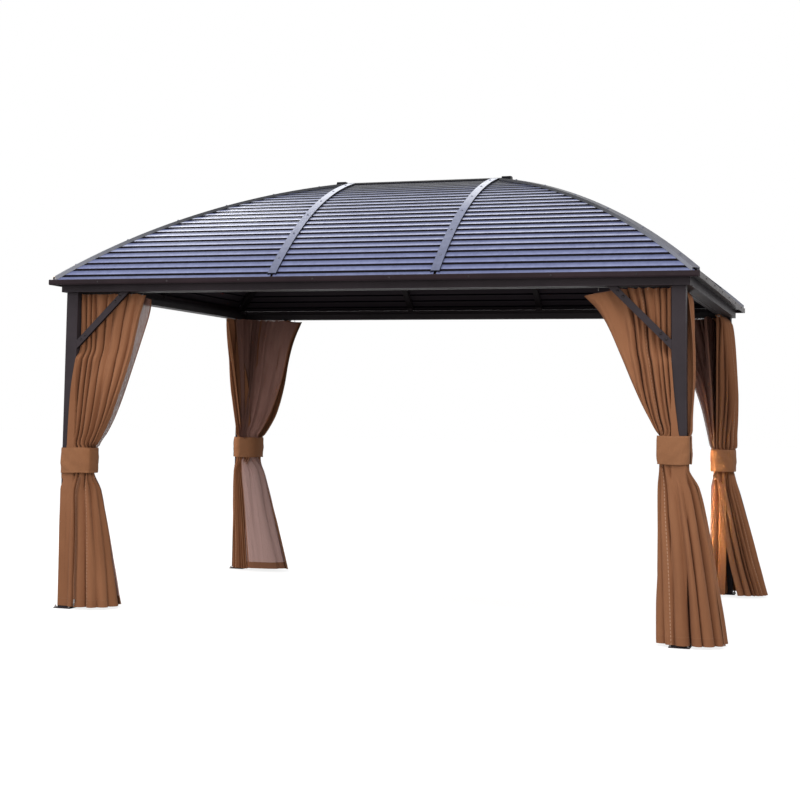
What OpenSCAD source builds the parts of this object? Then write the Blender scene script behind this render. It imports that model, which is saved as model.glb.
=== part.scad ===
// Garden gazebo with a curved hipped metal roof and tied back curtains, lengths in millimetres

/* [Roof outline] */
// Length of the roof over its eave trims
roof_l = 3960; // [3700:10:4400]
// Depth of the roof over its eave trims
roof_w = 2960; // [2760:10:3160]
// Slope of the roof curve at the eave, degrees
eave_slope = 42; // [38:0.5:45]
// Slope of the roof curve at the ridge, degrees
ridge_slope = 13; // [10:0.5:16]

/* [Frame] */
// Clear height under the beams
headroom = 1940; // [1850:5:2100]
// Overhang of the eave past the beams
overhang = 60; // [50:1:75]
// Height of a beam
beam_h = 60; // [50:1:80]
// Depth of a beam
beam_d = 56; // [50:1:62]
// Height of the lip along the lower beam edge
lip_h = 9; // [6:0.5:14]
// Thickness of this lip
lip_t = 3; // [2:0.5:5]
// Wall of the beam and post tubes
tube_t = 2.5; // [1.5:0.1:4]
// Side of the square posts
post_s = 76; // [70:1:84]
// Setback of the posts from the outer beam faces
post_inset = 25; // [18:1:28]
// Side of the square corner connectors
connector_s = 92; // [86:1:105]
// Length of a brace leg along the post and the beam
brace_leg = 350; // [300:1:400]
// Width of a brace
brace_w = 38; // [30:1:46]
// Thickness of a brace
brace_t = 22; // [16:1:24]

/* [Base plates] */
// Thickness of the base plates
plate_t = 6; // [4:0.5:8]
// Distance from the post faces to the anchor holes' centres
anchor_gap = 9; // [8:0.5:14]
// Rim of the base plates past these centres
plate_rim = 9; // [8:0.5:14]
// Diameter of the anchor holes
anchor_d = 9; // [7:0.5:10]

/* [Eave trim] */
// Thickness of the web that lies on the beams
web_t = 6; // [4:0.5:8]
// Reach of the web over the beam
web_reach = 36; // [30:1:42]
// Thickness of the rounded nose
nose_t = 13; // [10:0.5:16]
// Height of the nose above the web
nose_up = 8; // [5:0.5:10]
// Drop of the nose below the web
nose_down = 19; // [14:0.5:24]
// Chamfer that rounds the nose
nose_round = 4; // [2:0.5:5]
// Length of a corner cap arm
corner_arm = 104; // [100:1:130]

/* [Roof sheets] */
// Thickness of the sheets
sheet_t = 2; // [1.2:0.1:3]
// Height of a course step
course_h = 10; // [6:0.5:12]
// Number of courses from eave to ridge
courses = 26; // [20:1:28]
// Start of the sheets behind the outer nose face
sheet_start = 23; // [21:0.5:28]
// Half of the gap between sheets over a rafter
rib_gap = 8; // [6:0.5:10]
// Gap between sheet and hip line
hip_gap = 9; // [7:0.5:11]
// Flat share of a course that stands proud
crest_share = 0.68; // [0.5:0.01:0.72]
// Share of a course that falls to the groove
fall_share = 0.1; // [0.06:0.01:0.14]
// Share of a course that rises from the groove
rise_share = 0.07; // [0.05:0.01:0.1]
// Share of the first course hidden by the eave
start_share = 0.3; // [0:0.01:0.4]

/* [Rafters and ridge] */
// Depth of the rafters
rafter_h = 40; // [30:1:46]
// Width of the rafters
rafter_w = 40; // [34:1:46]
// Depth of the ridge beam
ridge_h = 46; // [36:1:54]
// Radius of the ridge hubs
hub_r = 76; // [70:1:84]
// Width of the rafter shoes
shoe_w = 30; // [22:1:32]

/* [Caps] */
// Width of the rib and hip caps
cap_w = 52; // [46:1:58]
// Height of the caps over the sheets
cap_h = 11; // [8:0.5:14]
// Wall of the caps
cap_t = 2.5; // [1.5:0.1:3.5]
// Half width of the ridge cap
ridge_cap_half = 32; // [28:1:38]
// Reach of the ridge cap past the last ribs
ridge_cap_reach = 45; // [40:1:52]
// Length of a ridge end cap
end_cap_l = 62; // [50:1:70]
// Width of a ridge end cap
end_cap_w = 84; // [70:1:96]
// Height of a ridge end cap
end_cap_h = 14; // [10:0.5:18]

/* [Curtain rails] */
// Height of the curtain rails
rail_h = 40; // [34:1:44]
// Depth of the curtain rails
rail_d = 40; // [38:1:42]
// Part of the rail that hangs below the beam
rail_drop = 2; // [1:0.5:6]
// Width of a rail slot
slot_w = 6; // [4:0.5:8]
// Depth of a rail slot
slot_h = 12; // [8:0.5:16]

/* [Curtains] */
// Width of the open fan at the rail for front left, front right, back left, back right
fan_w = [455, 490, 480, 470];
// Width of the fan on the short sides for the same corners
side_fan_w = [440, 440, 320, 440];
// Underside of the tie bands for the same corners
band_z = [826, 972, 866, 855];
// Height of the tie bands
band_h = 154; // [130:1:170]
// Thickness of the tie bands
band_t = 4; // [3:0.5:5]
// Width of the gathered bundle beside the post
bundle_w = [126, 82, 150, 66];
// Depth of the gathered side bundle
side_bundle_w = 96; // [80:1:120]
// Extent of the gathered side bundle across
side_bundle_d = 120; // [100:1:140]
// Reach of the gathered side bundle past the outer post face for the same corners
held_out = [4, 20, -50, 26];
// Outer reach of the skirts along the long side, past the outer post face
skirt_out = [14, 200, 10, 252];
// Inner reach of the skirts along the long side, from the outer post face
skirt_in = [392, 178, 468, 165];
// Outer reach of the skirts along the short side, past the outer post face
skirt_out_y = 50; // [30:1:70]
// Inner reach of the skirts along the short side, from the outer post face
skirt_in_y = [300, 330, 240, 280];
// Hem height over the floor
hem_z = 14; // [10:1:30]
// Pleats of a fan
pleats = 7; // [5:1:9]
// Depth of a pleat at the rail
pleat_h = 11; // [6:0.5:12]
// Depth of a pleat on the short sides, where it swings out past the rail
side_pleat_h = 52; // [20:1:60]
// Half thickness of a pleated fan
fan_t = 3; // [2:0.5:4]
// Pleats round a skirt
skirt_pleats = 11; // [7:1:14]
// Depth of a skirt pleat at the hem
skirt_pleat_h = 14; // [6:0.5:18]
// Thickness of a skirt
skirt_t = 10; // [6:0.5:14]
// Height shares of the stations of a fan
fan_level_shares = [0, 0.12, 0.32, 0.56, 0.86, 1];
// Width shares of the free fan edge at these stations
fan_edge_shares = [0, 0.2, 0.4, 0.6, 0.84, 1];
// Height shares of the stations of a skirt
skirt_level_shares = [0, 0.25, 0.5, 0.75, 1];
// Spread shares of a skirt at these stations
skirt_spread_shares = [1, 0.82, 0.6, 0.34, 0];

/* [Netting] */
// Reach of the netting past the curtain edge
net_reach = 45; // [20:1:60]
// Half thickness of the netting
net_t = 2; // [1.5:0.1:2.5]
// Depth of a netting pleat
net_pleat_h = 3; // [1:0.5:4]
// Half thickness of the gathered netting
net_bundle_t = 4; // [3:0.5:5]

/* [Hidden] */
$fn = 48;
// Clearance between neighbours that touch
clear = 0.3;
// Overrun of a cut past a face
over = 5;
run = roof_w / 2;
ridge_half = (roof_l - roof_w) / 2;
beam_l = roof_l - 2 * overhang;
beam_w = roof_w - 2 * overhang;
anchor_spacing = post_s + 2 * anchor_gap;
plate_s = anchor_spacing + 2 * plate_rim;
beam_top = headroom + beam_h;
web_z = beam_top + clear;
web_top = web_z + web_t;
web_in = overhang + web_reach;
arc_run = run - sheet_start;
arc_r = arc_run / (sin(eave_slope) - sin(ridge_slope));
arc_d = sheet_start + arc_r * sin(eave_slope);
arc_z = web_top + clear - arc_r * cos(eave_slope);
sheet_top_r = arc_r + course_h + sheet_t;
cap_r = sheet_top_r + clear;
ridge_z = arc_z + arc_r * cos(ridge_slope);
tall = ridge_z + beam_h;
root2 = sqrt(2);
hip_gap_x = hip_gap * root2;
arc_steps = 26;
post_c = post_inset + post_s / 2;
post_in = post_inset + post_s;
rail_bottom = headroom - rail_drop;
rail_front = beam_d + clear;
fan_depth = rail_front + clear + fan_t + pleat_h;
net_depth = fan_depth + fan_t + pleat_h + clear + net_t + net_pleat_h;
bundle_t = (post_in - post_inset - 2 * net_bundle_t - 4 * clear) / 2;
bundle_depth = post_inset + bundle_t;
net_bundle_depth = bundle_depth + bundle_t + clear + net_bundle_t;
fan_start = post_in + clear;
side_start = post_in + clear;
fan_steps = 28;
net_steps = 14;
skirt_steps = 64;
full_turn = 360;
quarter = 90;
frame_colour = [0.2, 0.19, 0.21];
roof_colour = [0.66, 0.68, 0.76];
trim_colour = [0.24, 0.17, 0.17];
cloth_colour = [0.36, 0.25, 0.19];
net_colour = [0.5, 0.4, 0.42];

function slope_at(s) = eave_slope - (eave_slope - ridge_slope) * s;
function arc_pt(s, r) = [arc_d - r * sin(slope_at(s)), arc_z + r * cos(slope_at(s))];
function share_at(d) = (eave_slope - asin((arc_d - d) / arc_r)) / (eave_slope - ridge_slope);
function curve_z(d, r) = arc_z + sqrt(r * r - (arc_d - d) * (arc_d - d));
function at_front(p) = [p[0] - run, p[1]];
function band_pts(r0, r1, d0, d1) = concat(
  [for (i = [0:arc_steps]) let (d = d0 + (d1 - d0) * i / arc_steps) [d - run, curve_z(d, r1)]],
  [for (i = [arc_steps:-1:0]) let (d = d0 + (d1 - d0) * i / arc_steps) [d - run, curve_z(d, r0)]]);
function course_at(i, share) = max(0, (i + share - start_share) / (courses - start_share));
function course_pts(r) = concat(
  [for (i = [0:courses - 1], j = [0:3])
    let (share = [0, crest_share, crest_share + fall_share, 1 - rise_share][j])
    at_front(arc_pt(course_at(i, share), r + (j < 2 ? course_h : 0)))],
  [at_front(arc_pt(1, r))]);
function turned(p) = [for (i = [len(p) - 1:-1:0]) p[i]];

// A profile drawn as depth and height, pulled from x0 to x1
module along_x(x0, x1) {
  translate([x0, 0, 0])
    rotate([quarter, 0, quarter])
      linear_extrude(height = x1 - x0)
        children();
}

module both_x() {
  children();
  mirror([1, 0, 0]) children();
}

module both_y() {
  children();
  mirror([0, 1, 0]) children();
}

// The left end, drawn as if it were the front of a square roof
module at_left() {
  translate([-ridge_half, 0, 0])
    rotate([0, 0, -quarter])
      children();
}

module at_corner(i) {
  mirror([i % 2, 0, 0])
    mirror([0, i > 1 ? 1 : 0, 0])
      translate([-beam_l / 2, -beam_w / 2, 0])
        children();
}

module box(x0, x1, y0, y1, z0, z1) {
  translate([x0, y0, z0])
    cube([x1 - x0, y1 - y0, z1 - z0]);
}

// Square tube post on a drilled base plate
module post(i) {
  color(frame_colour)
    at_corner(i)
      translate([post_c, post_c, 0])
        difference() {
          union() {
            box(-post_s / 2, post_s / 2, -post_s / 2, post_s / 2, 0, headroom);
            box(-plate_s / 2, plate_s / 2, -plate_s / 2, plate_s / 2, 0, plate_t);
          }
          box(-post_s / 2 + tube_t, post_s / 2 - tube_t, -post_s / 2 + tube_t, post_s / 2 - tube_t,
            plate_t, headroom + over);
          for (x = [-1, 1], y = [-1, 1])
            translate([x * anchor_spacing / 2, y * anchor_spacing / 2, -over])
              cylinder(d = anchor_d, h = plate_t + 2 * over);
        }
}

// Half of a beam: a tube from the corner connector to the middle seam
module half_beam(half, depth) {
  x0 = -half + connector_s + clear;
  x1 = -clear / 2;
  difference() {
    union() {
      box(x0, x1, -depth, -depth + beam_d, headroom, beam_top);
      box(x0, x1, -depth - lip_t, -depth, headroom, headroom + lip_h);
    }
    box(-half, over, -depth + tube_t, -depth + beam_d - tube_t, headroom + tube_t, beam_top - tube_t);
  }
}

module long_beam() {
  color(frame_colour)
    both_x()
      half_beam(beam_l / 2, beam_w / 2);
}

module short_beam() {
  color(frame_colour)
    rotate([0, 0, -quarter])
      both_x()
        half_beam(beam_w / 2, beam_l / 2);
}

// Corner box over the post, open underneath
module corner_connectors() {
  color(frame_colour)
    for (i = [0:3])
      at_corner(i)
        difference() {
          box(0, connector_s, 0, connector_s, headroom + clear, beam_top);
          box(post_inset + 2 * tube_t, connector_s - 2 * tube_t, post_inset + 2 * tube_t,
            connector_s - 2 * tube_t, headroom - over, beam_top - tube_t);
        }
}

// Brace at forty five degrees from the post to the beam
module brace() {
  x0 = post_in + clear;
  z1 = headroom - clear;
  cut = brace_w * root2;
  translate([0, post_inset + clear + brace_t, 0])
    rotate([quarter, 0, 0])
      linear_extrude(height = brace_t)
        polygon([[x0, z1 - brace_leg], [x0 + brace_leg, z1], [x0 + brace_leg - cut, z1],
          [x0, z1 - brace_leg + cut]]);
}

module braces(first) {
  color(frame_colour)
    for (i = [first, first + 1])
      at_corner(i) brace();
}

// Double track rail inside a beam
module rail(half, depth) {
  y0 = -depth + rail_front;
  difference() {
    box(-half + post_in + clear, half - post_in - clear, y0, y0 + rail_d, rail_bottom, rail_bottom + rail_h);
    for (s = [1, 3])
      box(-half, half, y0 + rail_d * s / 4 - slot_w / 2, y0 + rail_d * s / 4 + slot_w / 2,
        rail_bottom - over, rail_bottom + slot_h);
  }
}

module curtain_rails() {
  color(frame_colour) {
    both_y() rail(beam_l / 2, beam_w / 2);
    rotate([0, 0, quarter])
      both_y() rail(beam_w / 2, beam_l / 2);
  }
}

// Section of the eave trim: a web on the beam and a rounded nose in front
module trim_section() {
  n = nose_round;
  translate([-run, 0])
    polygon([[0, web_top + nose_up - n], [0, web_z - nose_down + 2 * n], [n, web_z - nose_down],
      [nose_t - n / 2, web_z - nose_down], [nose_t, web_z - nose_down + n], [nose_t, web_z],
      [web_in, web_z], [web_in, web_top], [nose_t, web_top], [nose_t, web_top + nose_up - n / 2],
      [nose_t - n / 2, web_top + nose_up], [n, web_top + nose_up]]);
}

module trim_x(half) {
  along_x(-half + corner_arm + clear, half - corner_arm - clear)
    trim_section();
}

module eave_trim_front() {
  color(trim_colour) trim_x(roof_l / 2);
}

module eave_trim_back() {
  color(trim_colour)
    mirror([0, 1, 0]) trim_x(roof_l / 2);
}

module eave_trim_left() {
  color(trim_colour)
    at_left() trim_x(run);
}

module eave_trim_right() {
  color(trim_colour)
    mirror([1, 0, 0])
      at_left() trim_x(run);
}

module corner_cap() {
  translate([-ridge_half, 0, 0])
    along_x(-run, -run + corner_arm)
      trim_section();
  mirror([0, 1, 0])
    at_left()
      along_x(run - corner_arm, run)
        trim_section();
}

module eave_corner_caps() {
  color(trim_colour)
    both_x()
      both_y()
        corner_cap();
}

// Section of a rafter with its shoe on the trim web, ending at the hub or the ridge beam
module rafter_section(d_end, stretch) {
  polygon(concat(
    [[overhang * stretch, web_top + clear], [(overhang + shoe_w) * stretch, web_top + clear]],
    [for (i = [0:arc_steps])
      let (d = overhang + shoe_w + (d_end - overhang - shoe_w) * i / arc_steps)
      [d * stretch, curve_z(d, arc_r) - rafter_h]],
    [for (i = [arc_steps:-1:0])
      let (d = overhang + (d_end - overhang) * i / arc_steps)
      [d * stretch, curve_z(d, arc_r) - 2 * clear]]));
}

module rafter(d_end) {
  translate([0, -run, 0])
    along_x(-rafter_w / 2, rafter_w / 2)
      rafter_section(d_end, 1);
}

module rafters_front() {
  color(frame_colour)
    both_x()
      translate([-ridge_half, 0, 0])
        rafter(run - hub_r - clear);
}

module rafters_back() {
  mirror([0, 1, 0]) rafters_front();
}

module rafters_end() {
  color(frame_colour)
    both_x()
      at_left()
        rafter(run - hub_r - clear);
}

// A hip rafter lies lower than the curve by the fall of both slopes across its width
module hip_rafter() {
  fall = rafter_w / 2 / root2 * tan(eave_slope);
  translate([-roof_l / 2, -run, 0])
    rotate([0, 0, quarter / 2 - quarter])
      along_x(-rafter_w / 2, rafter_w / 2)
        polygon(concat(
          [[overhang * root2, web_top + clear], [(overhang + shoe_w) * root2, web_top + clear]],
          [for (i = [0:arc_steps])
            let (d = overhang + shoe_w + (hub_d - overhang - shoe_w) * i / arc_steps)
            [d * root2, curve_z(d, arc_r) - fall - rafter_h]],
          [for (i = [arc_steps:-1:0])
            let (d = overhang + (hub_d - overhang) * i / arc_steps)
            [d * root2, curve_z(d - rafter_w / 2 / root2, arc_r) - clear]]));
}
hub_d = run - (hub_r + clear) / root2;

module hip_rafters() {
  color(frame_colour)
    both_x()
      both_y()
        hip_rafter();
}

// Ridge beam with a round hub at each end
module ridge_beam() {
  top = curve_z(run - rafter_w / 2, arc_r) - clear;
  hub_top = curve_z(run - hub_r, arc_r) - clear;
  color(frame_colour) {
    box(-ridge_half, ridge_half, -rafter_w / 2, rafter_w / 2, top - ridge_h, hub_top);
    box(-ridge_half + hub_r / 2, ridge_half - hub_r / 2, -rafter_w / 2, rafter_w / 2, top - ridge_h, top);
    for (x = [-ridge_half, ridge_half])
      translate([x, 0, top - ridge_h])
        cylinder(r = hub_r, h = hub_top - top + ridge_h);
  }
}

// Stepped sheet section along the roof curve
module sheet_section() {
  polygon(concat(course_pts(arc_r + sheet_t), turned(course_pts(arc_r))));
}

// Triangular sheet between a rib and the hip on its left, with the rib at x zero
module corner_sheet() {
  d_top = run - rib_gap - hip_gap_x;
  color(roof_colour)
    intersection() {
      along_x(-run, 0)
        sheet_section();
      linear_extrude(height = tall)
        polygon([[-run + hip_gap_x - over, -run - over], [-rib_gap, -run - over], [-rib_gap, -run + d_top]]);
    }
}

module roof_front_left() {
  translate([-ridge_half, 0, 0]) corner_sheet();
}

module roof_front_right() {
  mirror([1, 0, 0]) roof_front_left();
}

module roof_back_left() {
  mirror([0, 1, 0]) roof_front_left();
}

module roof_back_right() {
  mirror([0, 1, 0]) roof_front_right();
}

module roof_front_middle() {
  color(roof_colour)
    intersection() {
      along_x(-ridge_half + rib_gap, ridge_half - rib_gap)
        sheet_section();
      box(-ridge_half, ridge_half, -run - over, -rib_gap, 0, tall);
    }
}

module roof_back_middle() {
  mirror([0, 1, 0]) roof_front_middle();
}

module roof_left() {
  at_left()
    both_x()
      corner_sheet();
}

module roof_right() {
  mirror([1, 0, 0]) roof_left();
}

// Channel strip over a rib, with the rib at x zero
module rib_cap(d_end) {
  color(roof_colour)
    difference() {
      along_x(-cap_w / 2, cap_w / 2)
        polygon(band_pts(cap_r, cap_r + cap_h, sheet_start, d_end));
      along_x(-cap_w / 2 + cap_t, cap_w / 2 - cap_t)
        polygon(band_pts(cap_r - over, cap_r + cap_h - cap_t, 0, d_end + over));
    }
}

module rib_caps_front() {
  both_x()
    translate([-ridge_half, 0, 0])
      rib_cap(run - ridge_cap_half - clear);
}

module rib_caps_back() {
  mirror([0, 1, 0]) rib_caps_front();
}

module rib_caps_end() {
  both_x()
    at_left()
      rib_cap(run - ridge_cap_reach - end_cap_l);
}

function hip_pts(r, rise, d0, d1, low) = [for (i = [0:arc_steps])
  let (d = d0 + (d1 - d0) * i / arc_steps)
  [d * root2, curve_z(d - low, r) + rise]];

// Channel strip over a hip, its legs reaching down to the sheets on both sides
module hip_cap() {
  leg = (cap_w / 2 - cap_t) / root2;
  d1 = run - hip_cap_back / root2;
  color(roof_colour)
    translate([-roof_l / 2, -run, 0])
      rotate([0, 0, quarter / 2 - quarter])
        difference() {
          along_x(-cap_w / 2, cap_w / 2)
            polygon(concat(hip_pts(cap_r, cap_h, sheet_start, d1, 0),
              turned(hip_pts(cap_r, 0, sheet_start, d1, leg))));
          along_x(-cap_w / 2 + cap_t, cap_w / 2 - cap_t)
            polygon(concat(hip_pts(cap_r, cap_h - cap_t, 0, run, 0),
              turned(hip_pts(cap_r, -beam_h, 0, run, 0))));
        }
}
hip_cap_back = cap_w + ridge_cap_reach / root2;

module hip_caps() {
  both_x()
    both_y()
      hip_cap();
}

// Folded strip along the ridge
module ridge_cap() {
  low = curve_z(run - ridge_cap_half, cap_r);
  high = curve_z(run, cap_r);
  half = ridge_half + ridge_cap_reach;
  color(roof_colour)
    along_x(-half, half)
      polygon([[-ridge_cap_half, low], [0, high], [ridge_cap_half, low], [ridge_cap_half, low + cap_h / 2],
        [0, high + cap_h], [-ridge_cap_half, low + cap_h / 2]]);
}

// Dark caps that close the ridge strip at both ends
module ridge_end_caps() {
  z0 = curve_z(run - ridge_cap_half, cap_r);
  x0 = ridge_half + ridge_cap_reach + clear;
  color(frame_colour)
    both_x()
      along_x(x0, x0 + end_cap_l)
        polygon([[-end_cap_w / 2, z0], [end_cap_w / 2, z0], [end_cap_w / 4, z0 + end_cap_h + cap_h],
          [-end_cap_w / 4, z0 + end_cap_h + cap_h]]);
}

// Pleat wave, which may swing further out than in
function pleat_wave(s, turn) = (cos(turn) > 0 ? s[5] : s[6]) * cos(turn);

// Closed loop of a pleated strip at one height: [z, from, to, depth, half thickness, pleat in, pleat out]
function strip_loop(s, n, steps) = concat(
  [for (i = [0:steps]) let (p = i / steps, w = pleat_wave(s, full_turn * n * p))
    [s[1] + (s[2] - s[1]) * p, s[3] - s[4] + w, s[0]]],
  [for (i = [steps:-1:0]) let (p = i / steps, w = pleat_wave(s, full_turn * n * p))
    [s[1] + (s[2] - s[1]) * p, s[3] + s[4] + w, s[0]]]);

// Solid skinned through such loops, listed from the bottom up
module strip(stations, n, steps) {
  m = 2 * (steps + 1);
  k = len(stations) - 1;
  points = [for (s = stations) each strip_loop(s, n, steps)];
  walls = [for (j = [0:k - 1], i = [0:m - 1], h = [0:1])
    h == 0 ? [j * m + i, (j + 1) * m + i, (j + 1) * m + (i + 1) % m]
      : [j * m + i, (j + 1) * m + (i + 1) % m, j * m + (i + 1) % m]];
  floor_faces = [for (i = [0:steps - 1]) [i, i + 1, m - 2 - i, m - 1 - i]];
  roof_faces = [for (i = [0:steps - 1]) [k * m + i, k * m + m - 1 - i, k * m + m - 2 - i, k * m + i + 1]];
  polyhedron(points = points, faces = concat(walls, floor_faces, roof_faces));
}

function mix(a, b, s) = a + (b - a) * s;

// Stations of a fan between the gathered bundle and the rail
function fan_stations(z0, from0, to0, depth0, t0, from1, to1, depth1, t1, pleat1, out1) =
  [for (k = [0:len(fan_level_shares) - 1])
    let (s = fan_level_shares[k], e = fan_edge_shares[k])
    [mix(z0, rail_bottom - clear, s), mix(from0, from1, s), mix(to0, to1, e), mix(depth0, depth1, s),
      mix(t0, t1, s), pleat1 * s, out1 * s]];
function with_bundle(z0, stations) = let (s = stations[0])
  concat([[z0, s[1], s[2], s[3], s[4], s[5], s[6]]], stations);
function side_bundle_depth(i) = post_inset - held_out[i] + side_bundle_d / 2;
function side_net_depth(i) = post_inset - held_out[i] + side_bundle_d + clear + net_bundle_t;

// Draws a strip made for the long side on the short side
module on_short_side() {
  mirror([1, -1, 0]) children();
}

module upper_curtains(i) {
  z1 = band_z[i] + band_h;
  long = fan_stations(z1, fan_start, fan_start + bundle_w[i], bundle_depth, bundle_t - clear,
    fan_start, fan_start + fan_w[i], fan_depth, fan_t, pleat_h, pleat_h);
  short = fan_stations(z1, side_start, side_start + side_bundle_w, side_bundle_depth(i), side_bundle_d / 2,
    side_start, side_start + side_fan_w[i], fan_depth, fan_t, pleat_h, side_pleat_h);
  strip(with_bundle(band_z[i], long), pleats, fan_steps);
  on_short_side()
    strip(with_bundle(band_z[i], short), pleats, fan_steps);
}

module netting(i) {
  z1 = band_z[i] + band_h;
  long = fan_stations(z1, fan_start, fan_start + bundle_w[i], net_bundle_depth, net_bundle_t,
    fan_start, fan_start + fan_w[i] + net_reach, net_depth, net_t, net_pleat_h, net_pleat_h);
  short = fan_stations(z1, side_start, side_start + side_bundle_w, side_net_depth(i), net_bundle_t,
    side_start, side_start + side_fan_w[i] + net_reach, net_depth, net_t, net_pleat_h, net_pleat_h);
  color(net_colour)
    at_corner(i) {
      strip(with_bundle(band_z[i], long), pleats, net_steps);
      on_short_side()
        strip(with_bundle(band_z[i], short), pleats, net_steps);
    }
}

// Outline round post and bundles, as the tie band holds it
function held_outline(i, grow) =
  let (a = post_inset - clear - grow, b = fan_start + bundle_w[i] + clear + grow,
    c = side_net_depth(i) + net_bundle_t + clear + grow, d = side_start + side_bundle_w + clear + grow,
    w = a - held_out[i])
  [[a, a], [b, a], [max(b, c), post_in], [c, d], [w, d], [min(a, w), side_start]];

module tie_band(i) {
  color(cloth_colour)
    at_corner(i)
      translate([0, 0, band_z[i]])
        linear_extrude(height = band_h)
          difference() {
            polygon(held_outline(i, band_t));
            polygon(held_outline(i, 0));
          }
}

// Distance from the post centre to the edge of a box around it, along an angle
function box_reach(t, x0, x1, y0, y1) = let (c = cos(t), s = sin(t))
  min(abs(c) < 0.001 ? tall : (c > 0 ? x1 / c : x0 / c), abs(s) < 0.001 ? tall : (s > 0 ? y1 / s : y0 / s));

// Wavy ring of a skirt round the post at one station
function skirt_ring(i, spread, z, inner) =
  let (h = post_s / 2, x0 = -h - mix(held_out[i], skirt_out[i], spread),
    x1 = -h + mix(bundle_w[i] + post_s, skirt_in[i], spread),
    y0 = -h - mix(band_t, skirt_out_y, spread), y1 = -h + mix(side_bundle_w + post_s, skirt_in_y[i], spread),
    cx = (x0 + x1) / 2, cy = (y0 + y1) / 2, rx = (x1 - x0) / 2, ry = (y1 - y0) / 2)
  [for (k = [0:skirt_steps - 1])
    let (t = full_turn * k / skirt_steps, wave = skirt_pleat_h * spread * (cos(skirt_pleats * t) - 1) / 2,
      free = box_reach(t, -h - 2 * clear, h + 2 * clear, -h - 2 * clear, h + 2 * clear),
      p = round_reach(t, cx, cy, rx, ry) + wave,
      r = inner ? max(free, mix(free, p - skirt_t, min(1, spread * 2))) : max(free + skirt_t / 2, p))
    [post_c + r * cos(t), post_c + r * sin(t), z]];

// Distance from the post centre to a rounded outline with its own centre, along an angle
function round_reach(t, cx, cy, rx, ry) =
  let (c = cos(t), s = sin(t), a = c * c / (rx * rx) + s * s / (ry * ry),
    b = -2 * (c * cx / (rx * rx) + s * cy / (ry * ry)), e = cx * cx / (rx * rx) + cy * cy / (ry * ry) - 1)
  (-b + sqrt(max(0, b * b - 4 * a * e))) / (2 * a);

module skirt(i) {
  m = skirt_steps;
  k = len(skirt_level_shares) - 1;
  z1 = band_z[i] - clear;
  points = concat(
    [for (j = [0:k]) each skirt_ring(i, skirt_spread_shares[j], mix(hem_z, z1, skirt_level_shares[j]), false)],
    [for (j = [0:k]) each skirt_ring(i, skirt_spread_shares[j], mix(hem_z, z1, skirt_level_shares[j]), true)]);
  inside = (k + 1) * m;
  outer_walls = [for (j = [0:k - 1], q = [0:m - 1], h = [0:1])
    h == 0 ? [j * m + q, (j + 1) * m + q, (j + 1) * m + (q + 1) % m]
      : [j * m + q, (j + 1) * m + (q + 1) % m, j * m + (q + 1) % m]];
  inner_walls = [for (f = outer_walls) [inside + f[0], inside + f[2], inside + f[1]]];
  hem_faces = [for (q = [0:m - 1]) [q, (q + 1) % m, inside + (q + 1) % m, inside + q]];
  top_faces = [for (q = [0:m - 1])
    [k * m + q, inside + k * m + q, inside + k * m + (q + 1) % m, k * m + (q + 1) % m]];
  polyhedron(points = points, faces = concat(outer_walls, inner_walls, hem_faces, top_faces));
}

// Reach of a skirt's hem from the middle of the roof, to its own side
function hem_reach(i) = beam_l / 2 - min([for (p = skirt_ring(i, 1, 0, false)) p[0]]);

// The frame's origin lies under the middle of the whole part, whose right hems reach past the roof
right_reach = max(roof_l / 2, hem_reach(1), hem_reach(3));
left_reach = max(roof_l / 2, hem_reach(0), hem_reach(2));
frame_x = (right_reach - left_reach) / 2;

module in_frame() {
  translate([-frame_x, 0, 0])
    children();
}

module curtain(i) {
  color(cloth_colour)
    at_corner(i) {
      upper_curtains(i);
      skirt(i);
    }
}

in_frame() post(0);  // post_front_left
in_frame() post(1);  // post_front_right
in_frame() post(2);  // post_back_left
in_frame() post(3);  // post_back_right
in_frame() long_beam();  // beam_front
in_frame() mirror([0, 1, 0]) long_beam();  // beam_back
in_frame() short_beam();  // beam_left
in_frame() mirror([1, 0, 0]) short_beam();  // beam_right
in_frame() corner_connectors();
in_frame() braces(0);  // braces_front
in_frame() braces(2);  // braces_back
in_frame() curtain_rails();
in_frame() eave_trim_front();
in_frame() eave_trim_back();
in_frame() eave_trim_left();
in_frame() eave_trim_right();
in_frame() eave_corner_caps();
in_frame() ridge_beam();
in_frame() hip_rafters();
in_frame() rafters_front();
in_frame() rafters_back();
in_frame() rafters_end();
in_frame() roof_front_left();
in_frame() roof_front_middle();
in_frame() roof_front_right();
in_frame() roof_back_left();
in_frame() roof_back_middle();
in_frame() roof_back_right();
in_frame() roof_left();
in_frame() roof_right();
in_frame() rib_caps_front();
in_frame() rib_caps_back();
in_frame() rib_caps_end();
in_frame() hip_caps();
in_frame() ridge_cap();
in_frame() ridge_end_caps();
in_frame() curtain(0);  // curtain_front_left
in_frame() curtain(1);  // curtain_front_right
in_frame() curtain(2);  // curtain_back_left
in_frame() curtain(3);  // curtain_back_right
in_frame() netting(0);  // netting_front_left
in_frame() netting(1);  // netting_front_right
in_frame() netting(2);  // netting_back_left
in_frame() netting(3);  // netting_back_right
in_frame() tie_band(0);  // tie_band_front_left
in_frame() tie_band(1);  // tie_band_front_right
in_frame() tie_band(2);  // tie_band_back_left
in_frame() tie_band(3);  // tie_band_back_right
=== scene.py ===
"""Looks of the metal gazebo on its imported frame: finishes, hanging cloth, fasteners, light and camera."""

import math
import random

import bpy
import numpy as np
from mathutils import Matrix, Vector, noise
from mathutils.bvhtree import BVHTree

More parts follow.
